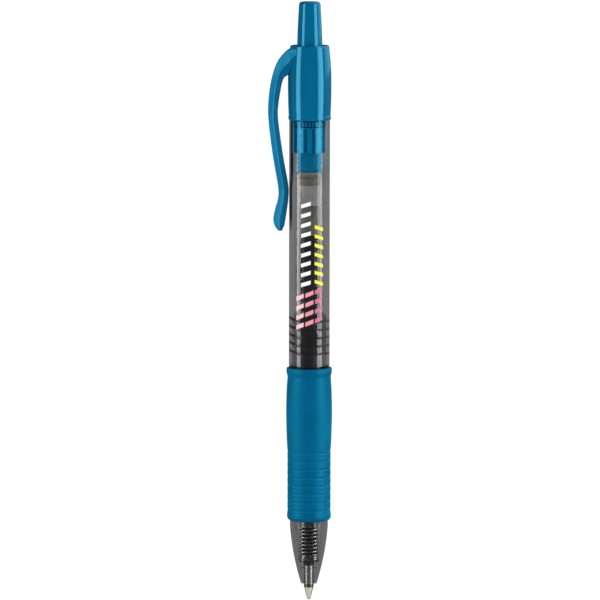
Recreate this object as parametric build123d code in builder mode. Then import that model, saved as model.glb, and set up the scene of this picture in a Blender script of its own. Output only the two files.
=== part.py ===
"""Retractable gel pen, in millimetres.

The pen's axis is Z, with the knock button up. The origin is the lowest point of the
writing ball with the point out, and the clip is on the -X side.
"""
import os

from build123d import *

os.makedirs("parts", exist_ok=True)

# ---- driving dimensions -------------------------------------------------------------
RUNNING_GAP = 0.07          # radial clearance of a part that slides or turns
SEAT_GAP = 0.02             # gap between two seated faces
KNOCK_RISE = 5.5            # how far the button and refill rise when the point goes in

# heights along the axis
NOSE_END_Z = 3.9
SPRING_SEAT_Z = 9.05
REFILL_SHOULDER_Z = 18.8
GRIP_BOTTOM_Z = 18.8
GRIP_TOP_Z = 54.9
BARREL_BOTTOM_Z = 55.3
THREAD_START_Z = 58.2
THREAD_END_Z = 67.5
INK_TOP_Z = 86.0
GREASE_TOP_Z = 92.5
REFILL_TOP_Z = 100.9
SPIGOT_BOTTOM_Z = 105.3
LAND_BOTTOM_Z = 107.2
BARREL_TOP_Z = 112.9
SLEEVE_TOP_Z = 130.3
KNOCK_TOP_Z = 140.5

# radii
BARREL_R = 4.75
BARREL_BORE_R = 3.65
REFILL_BORE_R = 3.50
GRIP_BORE_R = 4.22
NOSE_BAND_R = 4.45
TUBE_R = 3.05
TUBE_BORE_R = 2.55
KNOCK_R = 2.95
CAM_BORE_R = KNOCK_R + RUNNING_GAP
SLOT_R = 3.35
RIB_R = SLOT_R - RUNNING_GAP
SPIGOT_R = BARREL_BORE_R - SEAT_GAP
ROTOR_R = 2.83
BALL_R = 0.35

# screw thread between the front section and the barrel
THREAD_PITCH = 1.9
THREAD_ROOT_R = 3.60
THREAD_CREST_R = 4.02
THREAD_GAP = 0.08
THREAD_OVERLAP = 0.10       # how far each ridge or groove profile runs into its cylinder
RIDGE_ROOT_WIDTH = 1.20
RIDGE_CREST_WIDTH = 0.60
GROOVE_ROOT_WIDTH = 1.44
GROOVE_CREST_WIDTH = 0.84

# cam
SLOT_COUNT = 4
SLOT_WIDTH = 1.30
RIB_WIDTH = 1.10
RIB_DEPTH = 0.8
TOOTH_COUNT = 8
TOOTH_HEIGHT = 0.5
TOOTH_WIDTH = 1.6
TOOTH_CUT_MARGIN = 0.1


def ring(inner_r, outer_r):
    """Draw an annulus in the current sketch."""
    Circle(outer_r)
    Circle(inner_r, mode=Mode.SUBTRACT)


def thread_path(bottom_z, top_z):
    """A right-hand helix whose turns depend only on height, so that two threads mesh."""
    start_turn = bottom_z / THREAD_PITCH
    turned = Plane.XY.offset(bottom_z).rotated((0, 0, 360 * start_turn))
    return turned.from_local_coords(Edge.make_helix(THREAD_PITCH, top_z - bottom_z, THREAD_ROOT_R))


def thread_profile_plane(path):
    """A plane across the start of the helix, with its X pointing away from the pen's axis."""
    start = path @ 0
    return Plane(origin=start, x_dir=Vector(start.X, start.Y, 0), z_dir=path % 0)


def thread_profile(height, root_width, crest_width):
    """A trapezoid in the current sketch, with its root a little inside the cylinder."""
    Polygon(
        (-THREAD_OVERLAP, -root_width / 2),
        (height, -crest_width / 2),
        (height, crest_width / 2),
        (-THREAD_OVERLAP, root_width / 2),
        align=None,
    )


def guide_ribs():
    """The four guide ribs' outlines in the current sketch."""
    with PolarLocations(0, SLOT_COUNT):
        with Locations((RIB_R - RIB_DEPTH / 2, 0)):
            Rectangle(RIB_DEPTH, RIB_WIDTH)


def tooth_notch(mouth_z, tip_z):
    """A V-shaped bar across the axis, which cuts two opposite gaps between teeth."""
    with BuildPart(mode=Mode.PRIVATE) as notch:
        with BuildSketch(Plane.YZ):
            Polygon((-TOOTH_WIDTH / 2, mouth_z), (TOOTH_WIDTH / 2, mouth_z), (0, tip_z), align=None)
        extrude(amount=SLOT_R, both=True)
    return notch.part


# ---- barrel: clear tube with a stepped bore and the female thread ---------------------
BORE_STEP_LOW_Z = 98.3
BORE_STEP_HIGH_Z = 100.2
SNAP_BOTTOM_Z = 111.1
SNAP_R = 3.80
PILOT_R = 4.05
THREAD_RELIEF_TOP_Z = THREAD_END_Z + 0.6
REFILL_BORE_BOTTOM_Z = THREAD_END_Z + 1.0
BARREL_EDGE_R = 0.25
FEMALE_R = THREAD_ROOT_R + THREAD_GAP

with BuildPart() as barrel:
    with BuildSketch(Plane.XZ):
        with BuildLine():
            Polyline(
                (PILOT_R + RUNNING_GAP, BARREL_BOTTOM_Z),
                (BARREL_R, BARREL_BOTTOM_Z),
                (BARREL_R, BARREL_TOP_Z),
                (SNAP_R, BARREL_TOP_Z),
                (SNAP_R, SNAP_BOTTOM_Z),
                (BARREL_BORE_R, SNAP_BOTTOM_Z),
                (BARREL_BORE_R, BORE_STEP_HIGH_Z),
                (REFILL_BORE_R, BORE_STEP_LOW_Z),
                (REFILL_BORE_R, REFILL_BORE_BOTTOM_Z),
                (FEMALE_R, THREAD_RELIEF_TOP_Z),
                (FEMALE_R, THREAD_START_Z),
                (PILOT_R + RUNNING_GAP, THREAD_START_Z),
                close=True,
            )
        make_face()
    revolve(axis=Axis.Z)
    top_edges = barrel.edges().filter_by(GeomType.CIRCLE).group_by(Axis.Z)[-1]
    fillet(top_edges.sort_by(SortBy.RADIUS)[-1], BARREL_EDGE_R)
    groove_path = thread_path(THREAD_START_Z - THREAD_PITCH / 2, THREAD_END_Z)
    with BuildSketch(thread_profile_plane(groove_path)):
        thread_profile(THREAD_CREST_R - THREAD_ROOT_R + THREAD_GAP, GROOVE_ROOT_WIDTH, GROOVE_CREST_WIDTH)
    sweep(path=groove_path, is_frenet=True, mode=Mode.SUBTRACT)

barrel.part.label = "barrel"
export_step(barrel.part, "parts/barrel.step")


# ---- front barrel: clear nose, the core under the grip, and the male thread -----------
NOSE_BORE_R = 1.30
NOSE_TIP_R = 1.85
NOSE_BULGE = (3.55, 10.7)   # a point half way up the nose's arc
NOSE_ARC_TOP_Z = 17.6
SPRING_BORE_R = 2.35
FRONT_BORE_R = 3.25
FRONT_BORE_START_Z = 17.3
HOLDER_BORE_R = 1.72
HOLDER_BORE_BOTTOM_Z = 7.5
FLANGE_R = 4.70
RIDGE_LEAD_IN = 0.2
RIDGE_RUN_OUT = 0.5
GRIP_CORE_R = GRIP_BORE_R - SEAT_GAP

with BuildPart() as front_barrel:
    with BuildSketch(Plane.XZ):
        with BuildLine():
            nose = ThreePointArc((NOSE_TIP_R, NOSE_END_Z), NOSE_BULGE, (NOSE_BAND_R, NOSE_ARC_TOP_Z))
            Polyline(
                nose @ 1,
                (NOSE_BAND_R, GRIP_BOTTOM_Z - SEAT_GAP),
                (GRIP_CORE_R, GRIP_BOTTOM_Z - SEAT_GAP),
                (GRIP_CORE_R, GRIP_TOP_Z),
                (FLANGE_R, GRIP_TOP_Z),
                (FLANGE_R, BARREL_BOTTOM_Z - SEAT_GAP),
                (PILOT_R, BARREL_BOTTOM_Z - SEAT_GAP),
                (PILOT_R, THREAD_START_Z - SEAT_GAP),
                (THREAD_ROOT_R, THREAD_START_Z - SEAT_GAP),
                (THREAD_ROOT_R, THREAD_END_Z),
                (FRONT_BORE_R, THREAD_END_Z),
                (FRONT_BORE_R, FRONT_BORE_START_Z),
                (SPRING_BORE_R, SPRING_SEAT_Z),
                (HOLDER_BORE_R, SPRING_SEAT_Z),
                (HOLDER_BORE_R, HOLDER_BORE_BOTTOM_Z),
                (NOSE_BORE_R, HOLDER_BORE_BOTTOM_Z),
                (NOSE_BORE_R, NOSE_END_Z),
                nose @ 0,
            )
        make_face()
    revolve(axis=Axis.Z)
    ridge_path = thread_path(THREAD_START_Z + RIDGE_LEAD_IN, THREAD_END_Z - RIDGE_RUN_OUT)
    with BuildSketch(thread_profile_plane(ridge_path)):
        thread_profile(THREAD_CREST_R - THREAD_ROOT_R, RIDGE_ROOT_WIDTH, RIDGE_CREST_WIDTH)
    sweep(path=ridge_path, is_frenet=True)

front_barrel.part.label = "front_barrel"
export_step(front_barrel.part, "parts/front_barrel.step")


# ---- grip: soft sleeve with a waist, a belly and eight finger grooves ------------------
GRIP_COLLAR_R = 5.32
GRIP_COLLAR_CHAMFER = (0.25, 0.33)   # inwards and down
GRIP_NECK = (5.20, 53.45)
GRIP_BELLY = ((5.05, 52.9), (5.26, 49.7), (5.38, 44.4), (5.22, 38.4))
GRIP_RIB_R = 5.07
GROOVE_COUNT = 8
GROOVE_TOP_Z = 35.1
GROOVE_PITCH = 1.945
GROOVE_R = 0.55
GROOVE_DEPTH = 0.20
RIB_SECTION_TOP_Z = GROOVE_TOP_Z + 0.9
GRIP_LIP = ((GRIP_RIB_R, 20.6), (5.16, 20.0), (4.67, GRIP_BOTTOM_Z))
GRIP_RIM_Z = GRIP_TOP_Z - SEAT_GAP

with BuildPart() as grip:
    with BuildSketch(Plane.XZ):
        with BuildLine():
            belly = Spline(*GRIP_BELLY, (GRIP_RIB_R, RIB_SECTION_TOP_Z))
            lip = ThreePointArc(*GRIP_LIP)
            Line(belly @ 1, lip @ 0)
            Polyline(
                lip @ 1,
                (GRIP_BORE_R, GRIP_BOTTOM_Z),
                (GRIP_BORE_R, GRIP_RIM_Z),
                (GRIP_COLLAR_R - GRIP_COLLAR_CHAMFER[0], GRIP_RIM_Z),
                (GRIP_COLLAR_R, GRIP_RIM_Z - GRIP_COLLAR_CHAMFER[1]),
                GRIP_NECK,
                belly @ 0,
            )
        make_face()
        with Locations([(GRIP_RIB_R - GROOVE_DEPTH + GROOVE_R, GROOVE_TOP_Z - n * GROOVE_PITCH)
                        for n in range(GROOVE_COUNT)]):
            Circle(GROOVE_R, mode=Mode.SUBTRACT)
    revolve(axis=Axis.Z)

grip.part.label = "grip"
export_step(grip.part, "parts/grip.step")


# ---- clip sleeve: collar over the barrel's end, and the cam spigot inside it ------------
COLLAR_BELLY_R = 5.07
COLLAR_BOTTOM_Z = BARREL_TOP_Z + SEAT_GAP
COLLAR_PROFILE = (
    (4.87, 114.2), (5.03, 117.6), (COLLAR_BELLY_R, 121.5), (5.00, 124.7), (4.78, 127.5), (4.55, 129.85),
)
COLLAR_TOP_R = 4.10
COLLAR_TOP_FILLET = 0.5
BEAD_R = 4.96               # bead round the collar's lower end
BEAD_CHAMFER = 0.2
BEAD_TOP_Z = COLLAR_BOTTOM_Z + 0.75
SLOT_TOP_Z = 116.8
SERRATION_COUNT = 24
SERRATION_BOTTOM_Z = 111.3
SERRATION_TOP_Z = BARREL_TOP_Z - 0.2
SERRATION_DEPTH = 0.36
SERRATION_WIDTH = 0.45
SERRATION_R = SPIGOT_R - 0.05
CATCH_R = 3.2
CATCH_SIZE = (0.5, 0.9)
CATCH_HEIGHT = 0.55
CATCH_TAPER = 18            # degrees
CUT_MARGIN = 0.05
SLIT_WIDTH = 0.8
SLIT_DEPTH = 0.3
SLIT_ANGLE = 22             # degrees from the slot's middle
SLIT_END_GAP = 0.6

with BuildPart() as clip_sleeve:
    with BuildSketch(Plane.XZ):
        with BuildLine():
            collar = Spline(*COLLAR_PROFILE)
            RadiusArc(collar @ 1, (COLLAR_TOP_R, SLEEVE_TOP_Z), -COLLAR_TOP_FILLET)
            Polyline(
                (COLLAR_TOP_R, SLEEVE_TOP_Z),
                (CAM_BORE_R, SLEEVE_TOP_Z),
                (CAM_BORE_R, LAND_BOTTOM_Z),
                (SLOT_R, LAND_BOTTOM_Z),
                (SLOT_R, SPIGOT_BOTTOM_Z),
                (SPIGOT_R, SPIGOT_BOTTOM_Z),
                (SPIGOT_R, COLLAR_BOTTOM_Z),
                (BEAD_R - BEAD_CHAMFER, COLLAR_BOTTOM_Z),
                (BEAD_R, COLLAR_BOTTOM_Z + BEAD_CHAMFER),
                (BEAD_R, BEAD_TOP_Z),
                collar @ 0,
            )
        make_face()
    revolve(axis=Axis.Z)
    # four slots guide the ribs of the button and the rotor
    with BuildSketch(Plane.XY.offset(SPIGOT_BOTTOM_Z)):
        with PolarLocations(0, SLOT_COUNT):
            with Locations((SLOT_R / 2, 0)):
                Rectangle(SLOT_R, SLOT_WIDTH)
    extrude(amount=SLOT_TOP_Z - SPIGOT_BOTTOM_Z, mode=Mode.SUBTRACT)
    # two shallow slits beside each slot leave a springy tongue on the spigot's outside
    with BuildSketch(Plane.XY.offset(SPIGOT_BOTTOM_Z + SLIT_END_GAP)):
        with PolarLocations(SPIGOT_R, SLOT_COUNT, start_angle=SLIT_ANGLE):
            Rectangle(2 * SLIT_DEPTH, SLIT_WIDTH)
        with PolarLocations(SPIGOT_R, SLOT_COUNT, start_angle=-SLIT_ANGLE):
            Rectangle(2 * SLIT_DEPTH, SLIT_WIDTH)
    extrude(amount=SERRATION_BOTTOM_Z - SPIGOT_BOTTOM_Z - 2 * SLIT_END_GAP, mode=Mode.SUBTRACT)
    # a ring of small teeth holds the sleeve in the barrel's counterbore
    with BuildSketch(Plane.XY.offset(SERRATION_BOTTOM_Z)):
        with PolarLocations(SERRATION_R, SERRATION_COUNT):
            Rectangle(SERRATION_DEPTH, SERRATION_WIDTH)
    extrude(amount=SERRATION_TOP_Z - SERRATION_BOTTOM_Z)
    # slanted catches under the lands, where the rotor's ribs rest with the point out
    with BuildSketch(Plane.XY.offset(LAND_BOTTOM_Z - CUT_MARGIN)):
        with PolarLocations(CATCH_R, SLOT_COUNT, start_angle=180 / SLOT_COUNT):
            Rectangle(*CATCH_SIZE)
    extrude(amount=CATCH_HEIGHT + CUT_MARGIN, taper=CATCH_TAPER, mode=Mode.SUBTRACT)

clip_sleeve.part.label = "clip_sleeve"
export_step(clip_sleeve.part, "parts/clip_sleeve.step")


# ---- pocket clip: a bowed arm with a curled end that presses on the barrel -------------
CLIP_ROOT_GAP_R = COLLAR_BELLY_R + 0.03
CLIP_FLAT_SHARE = 0.66      # width of the section's outer and inner flats over the full width
CLIP_SECTIONS = (
    # outer x, outer z, inner x, inner z, half the width at the ridges
    (-4.00, 130.00, -4.00, 123.70, 3.00),
    (-5.20, 129.10, -5.00, 123.35, 2.85),
    (-6.40, 127.95, -5.75, 123.00, 2.60),
    (-7.45, 126.50, -6.15, 122.40, 2.35),
    (-8.35, 124.40, -6.45, 121.40, 2.15),
    (-9.15, 121.10, -6.75, 119.90, 2.05),
    (-9.62, 117.20, -7.20, 117.00, 2.00),
    (-9.62, 113.40, -7.38, 113.60, 2.00),
    (-8.90, 107.00, -6.60, 107.30, 2.00),
    (-8.10, 101.90, -5.75, 102.10, 2.00),
    (-7.30, 97.20, -4.90, 97.30, 2.00),
    (-7.32, 94.50, -4.90, 94.70, 2.00),
    (-7.95, 92.20, -5.22, 92.10, 2.00),
    (-8.42, 89.90, -5.60, 89.70, 2.00),
    (-8.10, 88.20, -5.95, 88.10, 1.80),
    (-7.45, 87.10, -6.45, 87.15, 1.20),
)

with BuildPart() as pocket_clip:
    for outer_x, outer_z, inner_x, inner_z, half_width in CLIP_SECTIONS:
        outer = Vector(outer_x, 0, outer_z)
        inner = Vector(inner_x, 0, inner_z)
        across = outer - inner
        half_depth = across.length / 2
        half_flat = CLIP_FLAT_SHARE * half_width
        section = Plane(origin=(outer + inner) / 2, x_dir=across, z_dir=across.cross(Vector(0, 1, 0)))
        with BuildSketch(section):
            with BuildLine():
                Polyline(
                    (half_depth, -half_flat),
                    (half_depth, half_flat),
                    (0, half_width),
                    (-half_depth, half_flat),
                    (-half_depth, -half_flat),
                    (0, -half_width),
                    close=True,
                )
            make_face()
    loft()
    # the root is cut to the collar, and the arm clears the barrel
    with BuildSketch(Plane.XY.offset(BARREL_TOP_Z)):
        Circle(CLIP_ROOT_GAP_R)
    extrude(amount=SLEEVE_TOP_Z - BARREL_TOP_Z, mode=Mode.SUBTRACT)
    with BuildSketch(Plane.XY.offset(INK_TOP_Z)):
        Circle(BARREL_R + RUNNING_GAP)
    extrude(amount=BARREL_TOP_Z - INK_TOP_Z, mode=Mode.SUBTRACT)

pocket_clip.part.label = "pocket_clip"
export_step(pocket_clip.part, "parts/pocket_clip.step")


# ---- knock button: hollow cap with guide ribs and a toothed crown ----------------------
KNOCK_BOTTOM_Z = 107.72
KNOCK_BORE_R = 2.08
KNOCK_ROOF = 1.2
KNOCK_CROWN_R = 2.48
KNOCK_EDGE_R = 0.7
KNOCK_TAPER_BOTTOM_Z = SLEEVE_TOP_Z - 0.1
KNOCK_ROOF_CHAMFER = 0.6
GUIDE_RIB_BOTTOM_Z = 109.5
GUIDE_RIB_CLEARANCE = 0.1
GUIDE_RIB_TOP_Z = SLOT_TOP_Z - KNOCK_RISE - GUIDE_RIB_CLEARANCE

with BuildPart() as knock_button:
    with BuildSketch(Plane.XZ):
        with BuildLine():
            Polyline(
                (KNOCK_R, KNOCK_BOTTOM_Z),
                (KNOCK_R, KNOCK_TAPER_BOTTOM_Z),
                (KNOCK_CROWN_R, KNOCK_TOP_Z),
                (0, KNOCK_TOP_Z),
                (0, KNOCK_TOP_Z - KNOCK_ROOF),
                (KNOCK_BORE_R - KNOCK_ROOF_CHAMFER, KNOCK_TOP_Z - KNOCK_ROOF),
                (KNOCK_BORE_R, SLEEVE_TOP_Z),
                (KNOCK_BORE_R, KNOCK_BOTTOM_Z),
                close=True,
            )
        make_face()
    revolve(axis=Axis.Z)
    fillet(knock_button.faces().sort_by(Axis.Z)[-1].edges(), KNOCK_EDGE_R)
    with BuildSketch(Plane.XY.offset(GUIDE_RIB_BOTTOM_Z)):
        guide_ribs()
    extrude(amount=GUIDE_RIB_TOP_Z - GUIDE_RIB_BOTTOM_Z)
    # V notches leave the crown's teeth
    notch = tooth_notch(KNOCK_BOTTOM_Z - TOOTH_CUT_MARGIN, KNOCK_BOTTOM_Z + TOOTH_HEIGHT)
    for n in range(TOOTH_COUNT // 2):
        add(notch.rotate(Axis.Z, n * 360 / TOOTH_COUNT), mode=Mode.SUBTRACT)

knock_button.part.label = "knock_button"
export_step(knock_button.part, "parts/knock_button.step")


# ---- cam rotor: turns one step each time the button is pressed ---------------------------
ROTOR_BOTTOM_Z = REFILL_TOP_Z + SEAT_GAP
ROTOR_CROWN_Z = 107.60
ROTOR_PILOT_R = KNOCK_BORE_R - RUNNING_GAP
ROTOR_PILOT_TOP_Z = 111.5
ROTOR_RIB_BOTTOM_Z = 105.5
ROTOR_RIB_TOP_Z = LAND_BOTTOM_Z - 0.12
ROTOR_CHAMFER = 0.25
PILOT_CHAMFER = (0.3, 0.4)  # inwards and down
ROTOR_BORE_R = 1.3
ROTOR_RING_HEIGHTS = (102.2, 103.4, 104.6)
ROTOR_RING_DEPTH = 0.23
ROTOR_RING_WIDTH = 0.35

with BuildPart() as cam_rotor:
    with BuildSketch(Plane.XZ):
        with BuildLine():
            Polyline(
                (ROTOR_BORE_R, ROTOR_BOTTOM_Z),
                (ROTOR_R - ROTOR_CHAMFER, ROTOR_BOTTOM_Z),
                (ROTOR_R, ROTOR_BOTTOM_Z + ROTOR_CHAMFER),
                (ROTOR_R, ROTOR_CROWN_Z),
                (ROTOR_PILOT_R, ROTOR_CROWN_Z),
                (ROTOR_PILOT_R, ROTOR_PILOT_TOP_Z - PILOT_CHAMFER[1]),
                (ROTOR_PILOT_R - PILOT_CHAMFER[0], ROTOR_PILOT_TOP_Z),
                (ROTOR_BORE_R, ROTOR_PILOT_TOP_Z),
                close=True,
            )
        make_face()
        with Locations([(ROTOR_R, z) for z in ROTOR_RING_HEIGHTS]):
            Rectangle(2 * ROTOR_RING_DEPTH, ROTOR_RING_WIDTH, mode=Mode.SUBTRACT)
    revolve(axis=Axis.Z)
    with BuildSketch(Plane.XY.offset(ROTOR_RIB_BOTTOM_Z)):
        guide_ribs()
    extrude(amount=ROTOR_RIB_TOP_Z - ROTOR_RIB_BOTTOM_Z)
    # the V notches stop at the pilot, which stays whole
    with BuildSketch(Plane.XY.offset(ROTOR_CROWN_Z - 2 * TOOTH_HEIGHT)):
        Circle(ROTOR_PILOT_R)
    pilot = extrude(amount=4 * TOOTH_HEIGHT, mode=Mode.PRIVATE)
    notch = tooth_notch(ROTOR_CROWN_Z + TOOTH_CUT_MARGIN, ROTOR_CROWN_Z - TOOTH_HEIGHT)
    for n in range(TOOTH_COUNT // 2):
        add(notch.rotate(Axis.Z, n * 360 / TOOTH_COUNT) - pilot, mode=Mode.SUBTRACT)

cam_rotor.part.label = "cam_rotor"
export_step(cam_rotor.part, "parts/cam_rotor.step")


# ---- refill: tube, tail plug, grease follower, ink, tip holder, tip and ball -------------
PLUG_HEAD_Z = 100.0
PLUG_SPIGOT_BOTTOM_Z = 97.6
PLUG_CHAMFER = (0.13, 0.3)  # inwards and up
PLUG_HEAD_CHAMFER = 0.2
VENT_R = 0.5
INK_R = TUBE_BORE_R - SEAT_GAP
MENISCUS_MIDDLE = (1.5, GREASE_TOP_Z - 0.5)
MENISCUS_BOTTOM_Z = GREASE_TOP_Z - 0.7
HOLDER_BOTTOM_Z = 8.15
HOLDER_NECK_TOP_Z = 9.0
HOLDER_R = 1.65
HOLDER_NECK_R = 1.25
HOLDER_COLLAR_TOP_Z = 20.4
HOLDER_TOP_Z = 25.0
PIPE_R = 1.165
PIPE_TOP_Z = 13.0
PIPE_SEAT_R = PIPE_R + SEAT_GAP / 2
PIPE_BORE_R = 0.75
PIPE_BORE_BOTTOM_Z = 3.8
HOLDER_NECK_RISE = 0.35
SHOULDER_CHAMFER = 0.15
HOLDER_TOP_CHAMFER = (0.28, 0.4)
CHANNEL_R = 0.9
CHANNEL_OVERLAP = 1.0
CONE_TOP_R = 1.13
CONE_TOP_Z = 3.2
CONE_STEP = 0.1
FEED_R = 0.18
LIP_Z = 0.24
LIP_R = 0.42
BALL_SEAT_R = BALL_R + 0.012

with BuildPart() as ink_tube:
    with BuildSketch(Plane.XY.offset(HOLDER_COLLAR_TOP_Z)):
        ring(TUBE_BORE_R, TUBE_R)
    extrude(amount=PLUG_HEAD_Z - HOLDER_COLLAR_TOP_Z)

ink_tube.part.label = "ink_tube"
export_step(ink_tube.part, "parts/ink_tube.step")

with BuildPart() as tail_plug:
    with BuildSketch(Plane.XZ):
        with BuildLine():
            Polyline(
                (VENT_R, PLUG_SPIGOT_BOTTOM_Z),
                (INK_R - PLUG_CHAMFER[0], PLUG_SPIGOT_BOTTOM_Z),
                (INK_R, PLUG_SPIGOT_BOTTOM_Z + PLUG_CHAMFER[1]),
                (INK_R, PLUG_HEAD_Z + SEAT_GAP),
                (TUBE_R, PLUG_HEAD_Z + SEAT_GAP),
                (TUBE_R, REFILL_TOP_Z - PLUG_HEAD_CHAMFER),
                (TUBE_R - PLUG_HEAD_CHAMFER, REFILL_TOP_Z),
                (VENT_R, REFILL_TOP_Z),
                close=True,
            )
        make_face()
    revolve(axis=Axis.Z)

tail_plug.part.label = "tail_plug"
export_step(tail_plug.part, "parts/tail_plug.step")

with BuildPart() as grease_follower:
    with BuildSketch(Plane.XZ):
        with BuildLine():
            meniscus = ThreePointArc((0, MENISCUS_BOTTOM_Z), MENISCUS_MIDDLE, (INK_R, GREASE_TOP_Z))
            Polyline(
                meniscus @ 1,
                (INK_R, INK_TOP_Z + SEAT_GAP),
                (0, INK_TOP_Z + SEAT_GAP),
                meniscus @ 0,
            )
        make_face()
    revolve(axis=Axis.Z)

grease_follower.part.label = "grease_follower"
export_step(grease_follower.part, "parts/grease_follower.step")

with BuildPart() as gel_ink:
    with BuildSketch(Plane.XY.offset(HOLDER_TOP_Z + SEAT_GAP)):
        Circle(INK_R)
    extrude(amount=INK_TOP_Z - HOLDER_TOP_Z - SEAT_GAP)
    with BuildSketch(Plane.XY.offset(PIPE_TOP_Z + SEAT_GAP)):
        Circle(CHANNEL_R - SEAT_GAP)
    extrude(amount=HOLDER_TOP_Z - PIPE_TOP_Z + CHANNEL_OVERLAP)

gel_ink.part.label = "gel_ink"
export_step(gel_ink.part, "parts/gel_ink.step")

with BuildPart() as tip_holder:
    with BuildSketch(Plane.XZ):
        with BuildLine():
            Polyline(
                (PIPE_SEAT_R, HOLDER_BOTTOM_Z),
                (HOLDER_NECK_R, HOLDER_BOTTOM_Z),
                (HOLDER_NECK_R, HOLDER_NECK_TOP_Z),
                (HOLDER_R, HOLDER_NECK_TOP_Z + HOLDER_NECK_RISE),
                (HOLDER_R, REFILL_SHOULDER_Z),
                (TUBE_R - SHOULDER_CHAMFER, REFILL_SHOULDER_Z),
                (TUBE_R, REFILL_SHOULDER_Z + SHOULDER_CHAMFER),
                (TUBE_R, HOLDER_COLLAR_TOP_Z - SEAT_GAP),
                (INK_R, HOLDER_COLLAR_TOP_Z - SEAT_GAP),
                (INK_R, HOLDER_TOP_Z - HOLDER_TOP_CHAMFER[1]),
                (INK_R - HOLDER_TOP_CHAMFER[0], HOLDER_TOP_Z),
                (CHANNEL_R, HOLDER_TOP_Z),
                (CHANNEL_R, PIPE_TOP_Z),
                (PIPE_SEAT_R, PIPE_TOP_Z),
                close=True,
            )
        make_face()
    revolve(axis=Axis.Z)

tip_holder.part.label = "tip_holder"
export_step(tip_holder.part, "parts/tip_holder.step")

with BuildPart() as writing_tip:
    with BuildSketch(Plane.XZ):
        with BuildLine():
            Polyline(
                (0, LIP_Z),
                (LIP_R, LIP_Z),
                (CONE_TOP_R, CONE_TOP_Z),
                (PIPE_R, CONE_TOP_Z + CONE_STEP),
                (PIPE_R, PIPE_TOP_Z),
                (PIPE_BORE_R, PIPE_TOP_Z),
                (PIPE_BORE_R, PIPE_BORE_BOTTOM_Z),
                (0, PIPE_BORE_BOTTOM_Z - PIPE_BORE_R * 2 / 3),
                close=True,
            )
        make_face()
    revolve(axis=Axis.Z)
    with BuildSketch(Plane.XY):
        Circle(FEED_R)
    extrude(amount=PIPE_BORE_BOTTOM_Z, mode=Mode.SUBTRACT)
    with Locations((0, 0, BALL_R)):
        Sphere(BALL_SEAT_R, mode=Mode.SUBTRACT)

writing_tip.part.label = "writing_tip"
export_step(writing_tip.part, "parts/writing_tip.step")

with BuildPart() as writing_ball:
    with Locations((0, 0, BALL_R)):
        Sphere(BALL_R)

writing_ball.part.label = "writing_ball"
export_step(writing_ball.part, "parts/writing_ball.step")


# ---- return spring: coils open in the middle and closed at both ends ---------------------
WIRE_R = 0.20
COIL_R = 1.95
CLOSED_TURNS = 2.5          # at each end
OPEN_TURNS = 8.0
CLOSED_PITCH = 0.46
EASE_TURNS = 0.25           # half the stretch over which the pitch changes
POINTS_PER_TURN = 10
SPRING_BOTTOM_Z = SPRING_SEAT_Z + WIRE_R + SEAT_GAP
SPRING_TOP_Z = REFILL_SHOULDER_Z - WIRE_R - SEAT_GAP
SPRING_TURNS = OPEN_TURNS + 2 * CLOSED_TURNS
OPEN_PITCH = (SPRING_TOP_Z - SPRING_BOTTOM_Z - 2 * CLOSED_TURNS * CLOSED_PITCH) / OPEN_TURNS


def eased(turns):
    """Turns past a change of pitch: none before it, all after it, and a parabola between."""
    if turns < -EASE_TURNS:
        return 0
    if turns > EASE_TURNS:
        return turns
    return (turns + EASE_TURNS) ** 2 / (4 * EASE_TURNS)


def coil_point(turn):
    """A point on the wire's centre line, counted in turns from the bottom."""
    open_turns = eased(turn - CLOSED_TURNS) - eased(turn - CLOSED_TURNS - OPEN_TURNS)
    height = SPRING_BOTTOM_Z + CLOSED_PITCH * turn + (OPEN_PITCH - CLOSED_PITCH) * open_turns
    return Vector(COIL_R, 0, height).rotate(Axis.Z, 360 * turn)


coil_steps = round(SPRING_TURNS * POINTS_PER_TURN)
with BuildPart() as return_spring:
    with BuildLine():
        coil = Spline([coil_point(n / POINTS_PER_TURN) for n in range(coil_steps + 1)])
    with BuildSketch(Plane(origin=coil @ 0, z_dir=coil % 0)):
        Circle(WIRE_R)
    sweep(is_frenet=True)

return_spring.part.label = "return_spring"
export_step(return_spring.part, "parts/return_spring.step")
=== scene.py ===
"""Looks of the retractable gel pen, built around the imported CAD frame.

The helpers work in millimetres, and make() turns them into metres. Profiles are lists of
(radius, height) corners, each with an optional rounding radius.
"""
import math

import bpy
import numpy as np
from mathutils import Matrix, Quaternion, Vector


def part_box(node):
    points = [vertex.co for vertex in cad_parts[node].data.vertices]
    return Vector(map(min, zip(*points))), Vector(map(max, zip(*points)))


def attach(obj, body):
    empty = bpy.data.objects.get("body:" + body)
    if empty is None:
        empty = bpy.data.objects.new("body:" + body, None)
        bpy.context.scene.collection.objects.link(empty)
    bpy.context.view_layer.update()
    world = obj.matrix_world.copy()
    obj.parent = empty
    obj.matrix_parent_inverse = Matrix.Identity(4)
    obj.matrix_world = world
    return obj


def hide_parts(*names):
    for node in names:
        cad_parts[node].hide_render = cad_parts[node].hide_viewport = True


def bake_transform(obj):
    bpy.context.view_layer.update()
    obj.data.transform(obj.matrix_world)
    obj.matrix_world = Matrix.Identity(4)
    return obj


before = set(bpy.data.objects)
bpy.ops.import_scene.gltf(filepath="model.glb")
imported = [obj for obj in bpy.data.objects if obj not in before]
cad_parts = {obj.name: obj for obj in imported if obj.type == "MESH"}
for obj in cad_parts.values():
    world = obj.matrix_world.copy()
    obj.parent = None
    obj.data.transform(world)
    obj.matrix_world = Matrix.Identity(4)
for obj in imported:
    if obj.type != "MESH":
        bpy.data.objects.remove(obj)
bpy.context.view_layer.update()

MM = 0.001


# ---- the frame's heights and radii, in millimetres ----
def low(node):
    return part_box(node)[0].z / MM


def high(node):
    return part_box(node)[1].z / MM


def radius(node):
    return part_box(node)[1].x / MM


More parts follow.
